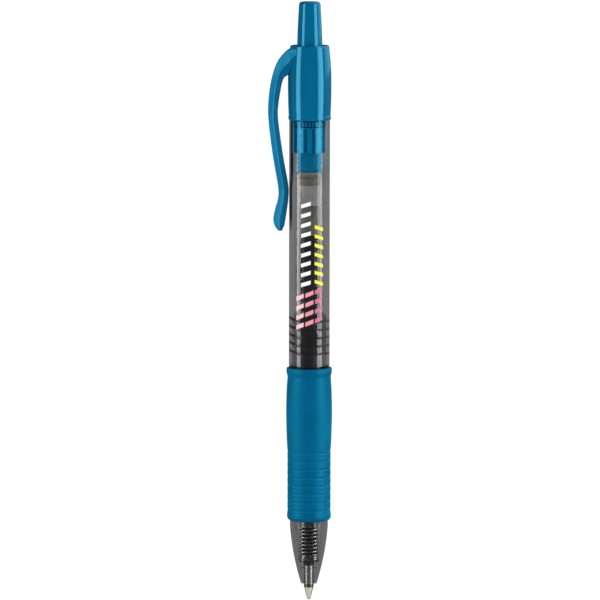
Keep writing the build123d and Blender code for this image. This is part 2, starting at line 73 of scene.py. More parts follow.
BARREL_R = radius("barrel")
BARREL_LOW, BARREL_HIGH = low("barrel"), high("barrel")
SLEEVE_R = radius("clip_sleeve")
SPIGOT_LOW, SLEEVE_HIGH = low("clip_sleeve"), high("clip_sleeve")
GRIP_R = radius("grip")
GRIP_LOW, GRIP_HIGH = low("grip"), high("grip")
NOSE_LOW, THREAD_HIGH = low("front_barrel"), high("front_barrel")
KNOCK_LOW, KNOCK_HIGH = low("knock_button"), high("knock_button")
TUBE_R = radius("ink_tube")
TUBE_LOW, TUBE_HIGH = low("ink_tube"), high("ink_tube")
PLUG_HIGH = high("tail_plug")
INK_R = radius("gel_ink")
INK_HIGH = high("gel_ink")
GREASE_LOW, GREASE_HIGH = low("grease_follower"), high("grease_follower")
HOLDER_LOW, HOLDER_HIGH = low("tip_holder"), high("tip_holder")
SPRING_LOW, SPRING_HIGH = low("return_spring"), high("return_spring")
PIPE_R = radius("writing_tip")
PIPE_HIGH = high("writing_tip")
BALL_R = radius("writing_ball")

# sizes shared by the two halves of the screw thread
THREAD_PITCH = 1.9
THREAD_ROOT_R = 3.60
THREAD_CREST_R = 4.02
THREAD_DEPTH = THREAD_CREST_R - THREAD_ROOT_R
THREAD_GAP = 0.08
FLANK_R = (3.5, 4.1)    # the flanks of both threads lie between these radii
BARREL_BORE_R = 3.65
SIDES = 128


# ---- mesh helpers ----
def rounded(corners, steps=6):
    """The outline with a short arc at each corner (r, z, radius) that has a radius."""
    points = []
    count = len(corners)
    for i, corner in enumerate(corners):
        here = Vector(corner[:2])
        bend = corner[2] if len(corner) > 2 else 0
        if not bend:
            points.append(tuple(here))
            continue
        before = (Vector(corners[i - 1][:2]) - here).normalized()
        after = (Vector(corners[(i + 1) % count][:2]) - here).normalized()
        half = before.angle(after) / 2
        reach = bend / math.tan(half)
        centre = here + (before + after).normalized() * (bend / math.sin(half))
        start = here + before * reach - centre
        end = here + after * reach - centre
        for k in range(steps + 1):
            mixed = start.lerp(end, k / steps).normalized() * bend
            points.append(tuple(centre + mixed))
    return points


def curve(points, steps):
    """A smooth Catmull-Rom curve through points of any dimension."""
    points = np.array(points, float)
    padded = np.vstack([2 * points[0] - points[1], points, 2 * points[-1] - points[-2]])
    result = []
    for i in range(len(points) - 1):
        a, b, c, d = padded[i:i + 4]
        for t in np.linspace(0, 1, steps, endpoint=False):
            result.append(0.5 * (2 * b + (c - a) * t + (2 * a - 5 * b + 4 * c - d) * t ** 2
                                 + (3 * b - a - 3 * c + d) * t ** 3))
    result.append(points[-1])
    return [tuple(p) for p in result]


def in_metres(point):
    return tuple(c * MM for c in point)


def make(name, vertices, faces, materials, sharp=30.0):
    """A smooth-shaded mesh object from millimetre vertices, with sharp edges by angle."""
    mesh = bpy.data.meshes.new(name)
    mesh.from_pydata([in_metres(v) for v in vertices], [], faces)
    mesh.validate()
    mesh.shade_smooth()
    mesh.set_sharp_from_angle(angle=math.radians(sharp))
    for material in materials:
        mesh.materials.append(material)
    obj = bpy.data.objects.new(name, mesh)
    bpy.context.scene.collection.objects.link(obj)
    return obj


def revolved(profile, sides=SIDES, bend=None):
    """Vertices and faces of a profile turned about Z. bend(r, z, angle) may change a radius."""
    vertices, faces, rings = [], [], []
    for r, z in profile:
        if r < 1e-6:
            rings.append([len(vertices)])
            vertices.append((0, 0, z))
            continue
        ring = []
        for k in range(sides):
            angle = 2 * math.pi * k / sides
            here = bend(r, z, angle) if bend else r
            ring.append(len(vertices))
            vertices.append((here * math.cos(angle), here * math.sin(angle), z))
        rings.append(ring)
    for i, ring in enumerate(rings):
        other = rings[(i + 1) % len(rings)]
        for k in range(sides):
            n = (k + 1) % sides
            if len(ring) == 1 and len(other) == 1:
                break
            if len(ring) == 1:
                faces.append((ring[0], other[n], other[k]))
            elif len(other) == 1:
                faces.append((ring[k], ring[n], other[0]))
            else:
                faces.append((ring[k], ring[n], other[n], other[k]))
    return vertices, faces


def lathe(name, corners, materials, sharp=30.0, **options):
    """A closed turned solid from rounded corners that run anticlockwise (r right, z up)."""
    vertices, faces = revolved(rounded(corners), **options)
    return make(name, vertices, faces, materials, sharp)


# a block's corners count up along its axial, tangential and radial sides
BLOCK_FACES = ((0, 1, 3, 2), (4, 6, 7, 5), (0, 4, 5, 1), (2, 3, 7, 6), (0, 2, 6, 4), (1, 5, 7, 3))


def block(vertices, faces, angle, size, centre):
    """Add a box to a mesh: size and centre are (radial, tangential, axial) at an angle."""
    start = len(vertices)
    c, s = math.cos(angle), math.sin(angle)
    for dr in (-0.5, 0.5):
        for dt in (-0.5, 0.5):
            for dz in (-0.5, 0.5):
                r = centre[0] + dr * size[0]
                t = centre[1] + dt * size[1]
                vertices.append((r * c - t * s, r * s + t * c, centre[2] + dz * size[2]))
    for face in BLOCK_FACES:
        faces.append(tuple(start + i for i in face))


def ridge_height(z, angle, half_root, half_crest):
    """Height of a right-hand thread's trapezoid ridge at a point of the cylinder."""
    turns = z / THREAD_PITCH - angle / (2 * math.pi)
    away = abs(turns - round(turns)) * THREAD_PITCH
    return THREAD_DEPTH * min(1.0, max(0.0, (half_root - away) / (half_root - half_crest)))


def rows(start, end, step=0.09):
    """Heights from start to end, close enough together to carry a thread."""
    return np.linspace(start, end, int(abs(end - start) / step))


def material_above(obj, height, index):
    """Give the faces above a height the material with this index."""
    for face in obj.data.polygons:
        if face.center.z > height * MM:
            face.material_index = index


# ---- node helpers ----
def new_material(name):
    material = bpy.data.materials.new(name)
    material.use_nodes = True
    tree = material.node_tree
    tree.nodes.clear()
    surface = tree.nodes.new("ShaderNodeOutputMaterial").inputs["Surface"]
    return material, tree, surface


def node(tree, kind, inputs=None, output=0, **settings):
    """Add a node, set its properties, give each input its value or its link, and return an output."""
    made = tree.nodes.new(kind)
    for key, value in settings.items():
        setattr(made, key, value)
    for key, item in (inputs or {}).items():
        if isinstance(item, bpy.types.NodeSocket):
            tree.links.new(item, made.inputs[key])
        else:
            made.inputs[key].default_value = item
    return made.outputs[output]


def ramp(tree, source, low_value, high_value, low_at=0.35, high_at=0.65):
    """Map a 0-1 value to a range."""
    inputs = {0: source, 1: low_at, 2: high_at, 3: low_value, 4: high_value}
    return node(tree, "ShaderNodeMapRange", inputs)


def lerp(tree, share, low_value, high_value):
    """Go from one value to another as a share goes from 0 to 1."""
    return ramp(tree, share, low_value, high_value, 0.0, 1.0)


def smooth(tree, source, start, end):
    """0 to 1 as a value goes from start to end, eased."""
    inputs = {0: source, 1: start, 2: end, 3: 0.0, 4: 1.0}
    return node(tree, "ShaderNodeMapRange", inputs, interpolation_type="SMOOTHSTEP")


def maths(tree, operation, first, second):
    """A Math node on sockets or plain numbers."""
    return node(tree, "ShaderNodeMath", {0: first, 1: second}, operation=operation)


def times(tree, first, *others):
    """The product of several sockets or numbers."""
    for other in others:
        first = maths(tree, "MULTIPLY", first, other)
    return first


def between(tree, value, band):
    """1 inside a band (start, full, full, end) in millimetres, 0 outside it."""
    start, full_from, full_to, end = (edge * MM for edge in band)
    return times(tree, smooth(tree, value, start, full_from), smooth(tree, value, end, full_to))


def blend_colour(tree, share, first, second):
    """Mix a colour socket with a plain colour by a share."""
    inputs = {0: share, 6: first, 7: (*second, 1)}
    return node(tree, "ShaderNodeMix", inputs, output=2, data_type="RGBA")


def scaled(tree, colour, shade):
    """A colour times a shade."""
    inputs = {0: colour, "Scale": shade}
    return node(tree, "ShaderNodeVectorMath", inputs, operation="SCALE")


def mixed_shader(tree, share, first, second):
    """Mix two shaders by a share."""
    return node(tree, "ShaderNodeMixShader", {0: share, 1: first, 2: second})


def object_place(tree):
    """The place on the piece, in metres, which moves with it."""
    return node(tree, "ShaderNodeTexCoord", output="Object")


def separate(tree, vector):
    """The x, y and z of a vector."""
    return node(tree, "ShaderNodeSeparateXYZ", {0: vector}).node.outputs


def facing_value(tree):
    """0 where a surface faces the viewer, 1 at its outline."""
    return node(tree, "ShaderNodeLayerWeight", {"Blend": 0.5}, output="Facing")


def backfacing(tree):
    """1 on the back of a face, 0 on its front."""
    return node(tree, "ShaderNodeNewGeometry", output="Backfacing")


def noise_value(tree, scale, detail=3.0):
    inputs = {"Vector": object_place(tree), "Scale": scale, "Detail": detail}
    return node(tree, "ShaderNodeTexNoise", inputs, output="Fac")


# ---- kinds of material ----
BLUE_TINT = (0.17, 0.74, 1.0)
RUBBER_TINT = (0.05, 0.74, 1.0)
STRIP_TINT = (0.93, 0.91, 1.0)
HAZE_COLOUR = (0.5, 0.5, 0.53)
CLOUD_SCALE = 140
CLEAR_CLOUD_SCALE = 160
METAL_CLOUD_SCALE = 600
RING_SCALE = (60, 60, 9000)
GRAIN_DEPTH = 0.05 * MM
RING_DEPTH = 0.03 * MM
CLEAR_ROUGHNESS = 0.04
INSIDE_MIRROR = 0.25    # how much of its mirror a clear wall keeps when seen from inside


def moulded(tree, colour, roughness, bump, grain, vary):
    """Colour, roughness and normal of a moulding: cloudy, unevenly glossy and finely grained."""
    cloud = noise_value(tree, CLOUD_SCALE)
    fine = noise_value(tree, grain, 4.0)
    base = scaled(tree, colour, ramp(tree, cloud, 1 - vary, 1 + vary))
    rough = ramp(tree, cloud, roughness * 0.85, roughness * 1.2)
    normal = node(tree, "ShaderNodeBump", {"Strength": bump, "Distance": GRAIN_DEPTH, "Height": fine})
    return base, rough, normal


def plastic(name, colour, roughness, bump=0.02, grain=900, vary=0.06, specular=0.2):
    """Plastic, ink or grease with colourless reflections."""
    material, tree, surface = new_material(name)
    base, rough, normal = moulded(tree, colour, roughness, bump, grain, vary)
    inputs = {"Base Color": base, "Roughness": rough, "Normal": normal, "IOR": 1.48,
              "Specular IOR Level": specular}
    shader = node(tree, "ShaderNodeBsdfPrincipled", inputs)
    tree.links.new(shader, surface)
    return material


def tinted_plastic(name, colour, roughness, tint=BLUE_TINT, head_on=0.036, edge=0.7, bump=0.02,
                   grain=900):
    """Plastic or rubber whose reflections take on its colour. The mirror's share grows from
    head_on, where the surface faces the viewer, to edge at the outline."""
    material, tree, surface = new_material(name)
    base, rough, normal = moulded(tree, colour, roughness, bump, grain, vary=0.05)
    matte = node(tree, "ShaderNodeBsdfDiffuse", {"Color": base, "Normal": normal})
    shine = node(tree, "ShaderNodeBsdfGlossy",
                 {"Color": (*tint, 1), "Roughness": rough, "Normal": normal})
    steep = maths(tree, "POWER", facing_value(tree), 2.0)
    mixed = mixed_shader(tree, lerp(tree, steep, head_on, edge), matte, shine)
    tree.links.new(mixed, surface)
    return material


def metal(name, colour, roughness, lines=0.0, rim=1.0, metallic=1.0):
    """Turned metal: fine rings round the axis, uneven polish, and a darker rim of painted shade if rim
    is under 1.
    """
    material, tree, surface = new_material(name)
    cloud = noise_value(tree, METAL_CLOUD_SCALE)
    stretched = node(tree, "ShaderNodeMapping", {0: object_place(tree), "Scale": RING_SCALE})
    inputs = {"Vector": stretched, "Scale": 1.0, "Detail": 2.0}
    rings = node(tree, "ShaderNodeTexNoise", inputs, output="Fac")
    normal = node(tree, "ShaderNodeBump", {"Strength": lines, "Distance": RING_DEPTH, "Height": rings})
    rim_shade = ramp(tree, facing_value(tree), 1.0, rim, 0.25, 0.6)
    shade = times(tree, ramp(tree, rings, 0.93, 1.05), rim_shade)
    rough = ramp(tree, cloud, roughness * 0.7, roughness * 1.4)
    inputs = {"Base Color": scaled(tree, colour, shade), "Roughness": rough,
              "Normal": normal, "Metallic": metallic}
    shader = node(tree, "ShaderNodeBsdfPrincipled", inputs)
    tree.links.new(shader, surface)
    return material


def clear(name, passed, mirror, wall=None, edge=1.0, bore_edge=(0.17, 0.25), haze=0.0, details=None):
    """Clear plastic that doesn't bend what is seen through it: a tint plus a mirror that grows
    towards the edges. Past the edge of the bore the line of sight runs through the solid wall, and
    the tint deepens from passed to wall. details may change the tint, the mirror's colour and the
    haze."""
    material, tree, surface = new_material(name)
    cloud = noise_value(tree, CLEAR_CLOUD_SCALE)
    facing = facing_value(tree)
    in_wall = ramp(tree, facing, 0.0, 1.0, *bore_edge)
    inputs = {0: in_wall, 6: (*passed, 1), 7: (*(wall or passed), 1)}
    colour = node(tree, "ShaderNodeMix", inputs, output=2, data_type="RGBA")
    gloss = node(tree, "ShaderNodeRGB")
    gloss.default_value = (*STRIP_TINT, 1)
    if details:
        colour, gloss, haze = details(tree, colour, gloss, haze)
    tinted = scaled(tree, colour, ramp(tree, cloud, 0.97, 1.03))
    through = node(tree, "ShaderNodeBsdfTransparent", {"Color": tinted})
    if haze:
        cloudy = node(tree, "ShaderNodeBsdfDiffuse", {"Color": (*HAZE_COLOUR, 1)})
        through = mixed_shader(tree, haze, through, cloudy)
    rough = ramp(tree, cloud, CLEAR_ROUGHNESS * 0.8, CLEAR_ROUGHNESS * 1.25)
    shine = node(tree, "ShaderNodeBsdfGlossy", {"Color": gloss, "Roughness": rough})
    steep = maths(tree, "POWER", facing, 5.0)
    share = lerp(tree, steep, mirror, mirror + edge * (1 - mirror))
    share = times(tree, share, lerp(tree, backfacing(tree), 1.0, INSIDE_MIRROR))
    mixed = mixed_shader(tree, share, through, shine)
    tree.links.new(mixed, surface)
    return material


# ---- what the barrel's thick wall shows, painted: the clip's reflection and shade, and dark lines ----
# bands across (x) or along (z) the barrel: start, full, full, end
CLIP_REFLECTION_X = (-4.50, -4.28, -3.90, -3.62)
CLIP_REFLECTION_FOOT = (86, 91)
CLIP_CLOSE = (101, 96)          # the clip comes close between these heights
CLIP_REFLECTION_SHIFT = 0.25
SPIGOT_SHADE_X = (-4.05, -3.85, -3.06, -2.86)
BORE_STEP_Z = 99.6
BORE_STEP_EDGE, BORE_STEP_SHARE = (0.24, 0.08), 0.35
THREAD_Z = (58.0, 58.3, 67.2, 67.6)
THREAD_LINE_Z = 58.4            # the height of one turn's line
LINE_EDGE = (0.23, 0.11)        # in turns from the middle of a line
THREAD_RISE_X, THREAD_RISE = -2.3, 0.33
LEFT_DASH_X = (-3.2, -3.6)
RIGHT_DASH_X = (3.3, 3.7)
BLUE_GLOSS_Z = (100.4, 101.0)
# painted colours: the clip's reflection and shade, the dark lines of the bore's step and the thread,
# and gaps in the thread's reflections
CLIP_REFLECTION_COLOUR = (0.015, 0.024, 0.042)
SPIGOT_SHADE_COLOUR = (0.10, 0.33, 0.40)
FAINT_LINE, FAINT_SHARE = (0.20, 0.20, 0.21), 0.6
LEFT_DASH = (0.02, 0.02, 0.025)
RIGHT_DASH = (0.16, 0.16, 0.17)
LINE_IN_GLOSS = (0.30, 0.30, 0.33)


def edge_of(tree, value, edge):
    """0 to 1 across an edge (from, to) in millimetres."""
    return smooth(tree, value, edge[0] * MM, edge[1] * MM)


def painted_clip_reflection(tree, colour, x, z, front):
    """The clip's painted dark reflection at the left edge, and its painted shade on the blue spigot."""
    # the painted reflection lies further out lower down, where the clip comes close
    shift = times(tree, edge_of(tree, z, CLIP_CLOSE), CLIP_REFLECTION_SHIFT * MM)
    across = between(tree, maths(tree, "ADD", x, shift), CLIP_REFLECTION_X)
    reflection = times(tree, across, edge_of(tree, z, CLIP_REFLECTION_FOOT), front)
    colour = blend_colour(tree, reflection, colour, CLIP_REFLECTION_COLOUR)
    above = edge_of(tree, z, (SPIGOT_LOW - 0.1, SPIGOT_LOW + 0.2))
    shade = times(tree, between(tree, x, SPIGOT_SHADE_X), above, front)
    return blend_colour(tree, shade, colour, SPIGOT_SHADE_COLOUR)


def painted_step_ring(tree, colour, z, front):
    """The step in the bore above the refill shows as a fine ring of painted shade."""
    away = maths(tree, "ABSOLUTE", maths(tree, "SUBTRACT", z, BORE_STEP_Z * MM), 0.0)
    ring = times(tree, edge_of(tree, away, BORE_STEP_EDGE), front, BORE_STEP_SHARE)
    return blend_colour(tree, ring, colour, FAINT_LINE)


def painted_thread_lines(tree, colour, gloss, x, z, front):
    """The thread's turns, painted: dark dashes at both edges and faint lines between them, darker
    tints that stand in for how the flanks bend light, and painted gaps in the reflections."""
    # the turns rise towards the left edge
    past = maths(tree, "MAXIMUM", maths(tree, "SUBTRACT", THREAD_RISE_X * MM, x), 0.0)
    base = maths(tree, "ADD", times(tree, past, THREAD_RISE), THREAD_LINE_Z * MM)
    turns = maths(tree, "DIVIDE", maths(tree, "SUBTRACT", z, base), THREAD_PITCH * MM)
    away = maths(tree, "PINGPONG", turns, 0.5)
    line = times(tree, between(tree, z, THREAD_Z), front, smooth(tree, away, *LINE_EDGE))
    left = times(tree, line, edge_of(tree, x, LEFT_DASH_X))
    right = times(tree, line, edge_of(tree, x, RIGHT_DASH_X))
    colour = blend_colour(tree, times(tree, line, FAINT_SHARE), colour, FAINT_LINE)
    colour = blend_colour(tree, left, colour, LEFT_DASH)
    colour = blend_colour(tree, right, colour, RIGHT_DASH)
    return colour, blend_colour(tree, line, gloss, LINE_IN_GLOSS)


def barrel_details(tree, colour, gloss, haze):
    """Painted: the clip's reflection and shade, and dark lines for the bore's step and the thread's
    turns.
    Above the refill the reflections take on the blue of the parts inside, and the haze ends."""
    x, y, z = separate(tree, object_place(tree))
    front = maths(tree, "SUBTRACT", 1.0, backfacing(tree))
    colour = painted_clip_reflection(tree, colour, x, z, front)
    colour = painted_step_ring(tree, colour, z, front)
    colour, gloss = painted_thread_lines(tree, colour, gloss, x, z, front)
    blue = edge_of(tree, z, BLUE_GLOSS_Z)
    gloss = blend_colour(tree, blue, gloss, BLUE_TINT)
    return colour, gloss, times(tree, maths(tree, "SUBTRACT", 1.0, blue), haze)


# ---- materials ----
def grey(value):
    return (value, value, value)


# blue mouldings
blue_gloss = tinted_plastic("blue_gloss", (0.0012, 0.112, 0.232), 0.09, bump=0.015)
# the clip's outer half and its moulding line take lighter copies of its blue: painted light and a
# painted highlight
clip_outer_lit = tinted_plastic("clip_outer_lit", (0.006, 0.165, 0.33), 0.35, head_on=0.010, edge=0.18)
clip_inner = tinted_plastic("clip_inner", (0.0012, 0.118, 0.245), 0.35, head_on=0.008, edge=0.12)
clip_line_highlight = tinted_plastic("clip_line_highlight", (0.030, 0.225, 0.40), 0.30, head_on=0.02, edge=0.12)
# the spigot and the rotor take brighter copies of the blue: painted light for what the smoky barrel
# holds back
blue_inside_brightened = tinted_plastic("blue_inside_brightened", (0.004, 0.34, 0.70), 0.14, head_on=0.05, edge=0.15)
# darker copies of the blue for the slits and the recess: painted shade
blue_slit_shade = tinted_plastic("blue_slit_shade", (0.002, 0.15, 0.32), 0.30, head_on=0.01, edge=0.05)
blue_rotor_brightened = tinted_plastic("blue_rotor_brightened", (0.003, 0.235, 0.47), 0.20, head_on=0.008, edge=0.10)
blue_shadow = tinted_plastic("blue_shadow", (0.001, 0.045, 0.100), 0.40, head_on=0.01, edge=0.05,
                             bump=0.05)


def rubber(name, colour):
    return tinted_plastic(name, colour, 0.45, RUBBER_TINT, head_on=0.020, edge=0.30, bump=0.16,
                          grain=2600)


blue_rubber = rubber("blue_rubber", (0.0006, 0.090, 0.197))
# a lighter copy of the rubber for the upward sides of the grooves: painted light
rubber_lit_flank = rubber("rubber_lit_flank", (0.0008, 0.104, 0.226))

# clear mouldings
smoke_outer = clear("smoke_outer", grey(0.74), 0.036, wall=(0.40, 0.40, 0.395), haze=0.022,
                    details=barrel_details)
smoke_inner = clear("smoke_inner", grey(0.95), 0.012, edge=0.15)
nose_outer = clear("nose_outer", grey(0.47), 0.005, wall=grey(0.35),
                   bore_edge=(0.08, 0.22), haze=0.010)
nose_inner = clear("nose_inner", grey(0.95), 0.0, edge=0.02)
thread_flank_shade = clear("thread_flank_shade", grey(0.55), 0.004, edge=0.15)
core_clear = clear("core_clear", grey(0.90), 0.006, wall=grey(0.75), edge=0.3)
tube_clear = clear("tube_clear", (0.76, 0.76, 0.75), 0.008, edge=0.3)

# the refill
ink_black = plastic("ink_black", (0.024, 0.024, 0.028), 0.25, bump=0.0, vary=0.15, specular=0.1)
grease = plastic("grease", (0.50, 0.49, 0.45), 0.35, bump=0.05, vary=0.10)
plug_white = plastic("plug_white", (0.46, 0.45, 0.42), 0.35, bump=0.03)
plug_rim = plastic("plug_rim", (0.22, 0.215, 0.20), 0.35, bump=0.03, specular=0.1)
holder_dark = plastic("holder_dark", (0.010, 0.010, 0.012), 0.18)
holder_tail = plastic("holder_tail", (0.11, 0.11, 0.112), 0.25)
nickel = metal("nickel", (0.80, 0.78, 0.62), 0.26, lines=0.25, rim=0.30, metallic=0.6)
pipe_steel = metal("pipe_steel", (0.85, 0.83, 0.77), 0.18, lines=0.15, rim=0.60, metallic=0.55)
# a dark band at the foot of the pipe, where it meets the cone: painted shade
pipe_junction_shade = metal("pipe_junction_shade", (0.10, 0.10, 0.085), 0.35, lines=0.2, rim=0.7)
carbide = metal("carbide", (0.50, 0.50, 0.52), 0.10)
wire_steel = metal("wire_steel", (0.90, 0.90, 0.92), 0.26)


def print_ink(name, colour):
    return plastic(name, colour, 0.45, bump=0.10, grain=3500, vary=0.04)


print_white = print_ink("print_white", grey(0.90))
print_yellow = print_ink("print_yellow", (0.88, 0.85, 0.02))
print_pale = print_ink("print_pale", (0.90, 0.58, 0.58))
print_pink = print_ink("print_pink", (0.80, 0.30, 0.36))
print_rose = print_ink("print_rose", (0.62, 0.14, 0.24))

# places in a clear piece's list of materials
INSIDE, FLANK, CORE = 1, 2, 3


def mark_inside(obj):
    """Give the faces that look towards the axis the inner material."""
    for face in obj.data.polygons:
        if face.normal.xy.dot(face.center.xy.normalized()) < -0.2:
            face.material_index = INSIDE


def mark_flanks(obj, bottom, top):
    """The lower flank of each thread turn is seen edge-on and reads darker: it gets painted shade."""
    for face in obj.data.polygons:
        centre = face.center / MM
        in_thread = bottom < centre.z < top and FLANK_R[0] < centre.xy.length < FLANK_R[1]
        if in_thread and face.normal.z < -0.35:
            face.material_index = FLANK


def place(obj, body, node_name):
    """The piece stands for a CAD node and moves with its body."""
    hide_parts(node_name)
    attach(obj, body)


# ---- barrel ----
FIT = 0.02    # the gap left between faces that touch on the real pen


def build_barrel():
    pilot_r = 4.12
    female_r = THREAD_ROOT_R + THREAD_GAP
    thread_low, thread_high = 58.2, THREAD_HIGH
    counterbore_r, counterbore_low = 3.80, 111.1
    refill_bore_r, refill_bore_high, taper_high = 3.50, 98.3, 100.2
    outer = [(BARREL_R, BARREL_LOW, 0.12), (BARREL_R, BARREL_HIGH, 0.2)]
    bore = [(counterbore_r, BARREL_HIGH, 0.1), (counterbore_r, counterbore_low),
            (BARREL_BORE_R, counterbore_low), (BARREL_BORE_R, taper_high),
            (refill_bore_r, refill_bore_high), (refill_bore_r, thread_high + 1.0)]
    thread = [(female_r, z) for z in rows(thread_high + 0.6, thread_low)]
    pilot = [(pilot_r, thread_low), (pilot_r, BARREL_LOW, 0.1)]

    def bend(r, z, angle):
        if abs(r - female_r) > 0.005 or not thread_low <= z <= thread_high:
            return r
        return r + ridge_height(z, angle, half_root=0.72, half_crest=0.42)

    materials = [smoke_outer, smoke_inner, thread_flank_shade]
    barrel = lathe("barrel_tube", outer + bore + thread + pilot, materials, bend=bend)
    mark_inside(barrel)
    mark_flanks(barrel, thread_low, thread_high)
    place(barrel, "barrel", "barrel")


# ---- front barrel: nose, core, and the screw thread seen through the barrel ----
def build_front():
    nose_tip_r, band_r, band_low = 1.85, 4.45, 17.6
    nose_steps, nose_bulge = 24, 0.63
    core_r, flange_r, neck_r = 4.20, 4.70, 4.05
    core_bore_r, core_bore_low = 3.25, 17.3
    spring_bore_r = 2.35
    holder_bore_r, holder_bore_low = 1.72, 7.5
    tip_bore_r = 1.30
    thread_low, thread_end, run_out = 58.38, THREAD_HIGH - 0.5, 0.3
    nose = []
    for k in range(1, nose_steps + 1):
        share = k / nose_steps
        swell = (1 + nose_bulge) * share - nose_bulge * share ** 2
        nose.append((nose_tip_r + (band_r - nose_tip_r) * swell,
                     NOSE_LOW + (band_low - NOSE_LOW) * share))
    outline = [(tip_bore_r, NOSE_LOW, 0.06), (nose_tip_r, NOSE_LOW, 0.15)] + nose
    outline += [(band_r, GRIP_LOW - FIT, 0.1), (core_r, GRIP_LOW - FIT), (core_r, GRIP_HIGH + FIT),
                (flange_r, GRIP_HIGH + FIT, 0.06), (flange_r, BARREL_LOW - FIT, 0.06),
                (neck_r, BARREL_LOW - FIT), (neck_r, thread_low - 0.2)]
    outline += [(THREAD_ROOT_R, z) for z in rows(thread_low - 0.2, THREAD_HIGH - 0.3)]
    outline += [(THREAD_ROOT_R, THREAD_HIGH, 0.15), (core_bore_r, THREAD_HIGH, 0.1),
                (core_bore_r, core_bore_low), (spring_bore_r, SPRING_LOW - FIT),
                (holder_bore_r, SPRING_LOW - FIT), (holder_bore_r, holder_bore_low),
                (tip_bore_r, holder_bore_low)]

    def bend(r, z, angle):
        if abs(r - THREAD_ROOT_R) > 0.005 or not thread_low <= z <= thread_end:
            return r
        fade = min(1.0, (z - thread_low) / run_out, (thread_end - z) / run_out)
        return r + fade * ridge_height(z, angle, half_root=0.60, half_crest=0.30)

    materials = [nose_outer, nose_inner, thread_flank_shade, core_clear]
    front = lathe("front_barrel_core", outline, materials, bend=bend)
    material_above(front, BARREL_LOW, CORE)
    mark_inside(front)
    mark_flanks(front, thread_low, thread_end)
    place(front, "front", "front_barrel")


# ---- grip ----
def build_grip():
    core_r, flange_r = 4.23, 4.72
    groove_count, groove_pitch, groove_top = 8, 1.945, 35.1
    groove_depth, groove_half = 0.10, 0.26
    rib_r, rib_crown = 5.07, 0.02
    ribs_low, ribs_high, rib_rows = 20.9, 35.6, 160
    belly = curve([(5.06, 52.8), (5.15, 51.4), (5.26, 49.7), (GRIP_R, 44.4), (5.25, 39.0), (5.15, 36.6),
                   (rib_r, 35.7)], 8)
    ribs = []
    for z in np.linspace(ribs_high, ribs_low, rib_rows):
        nearest = min(abs(z - (groove_top - n * groove_pitch)) for n in range(groove_count))
        dip = max(0.0, 1 - (nearest / groove_half) ** 2)
        crown = rib_crown * math.cos(math.pi * nearest / groove_pitch) ** 2
        ribs.append((rib_r - rib_crown + crown - groove_depth * dip, z))
    foot = curve([(5.08, 20.75), (5.16, 20.1), (5.08, 19.5), (4.87, 19.1), (4.55, 18.9)], 4)
    outline = [(core_r, GRIP_LOW), *reversed(foot), *reversed(ribs), *reversed(belly)]
    outline += [(5.20, 53.3, 0.2), (5.33, 53.9, 0.2), (5.31, GRIP_HIGH, 0.25),
                (flange_r, GRIP_HIGH, 0.05), (flange_r, GRIP_HIGH - 0.2), (core_r, GRIP_HIGH - 0.2)]
    grip = lathe("grip_sleeve", outline, [blue_rubber, rubber_lit_flank], sharp=50)
    # the lower side of each groove faces the light from above and gets a lighter copy of the rubber:
    # painted light
    for face in grip.data.polygons:
        centre = face.center / MM
        outside = ribs_low < centre.z < ribs_high and centre.xy.length > 4.8
        if outside and face.normal.z > 0.15:
            face.material_index = 1
    place(grip, "front", "grip")


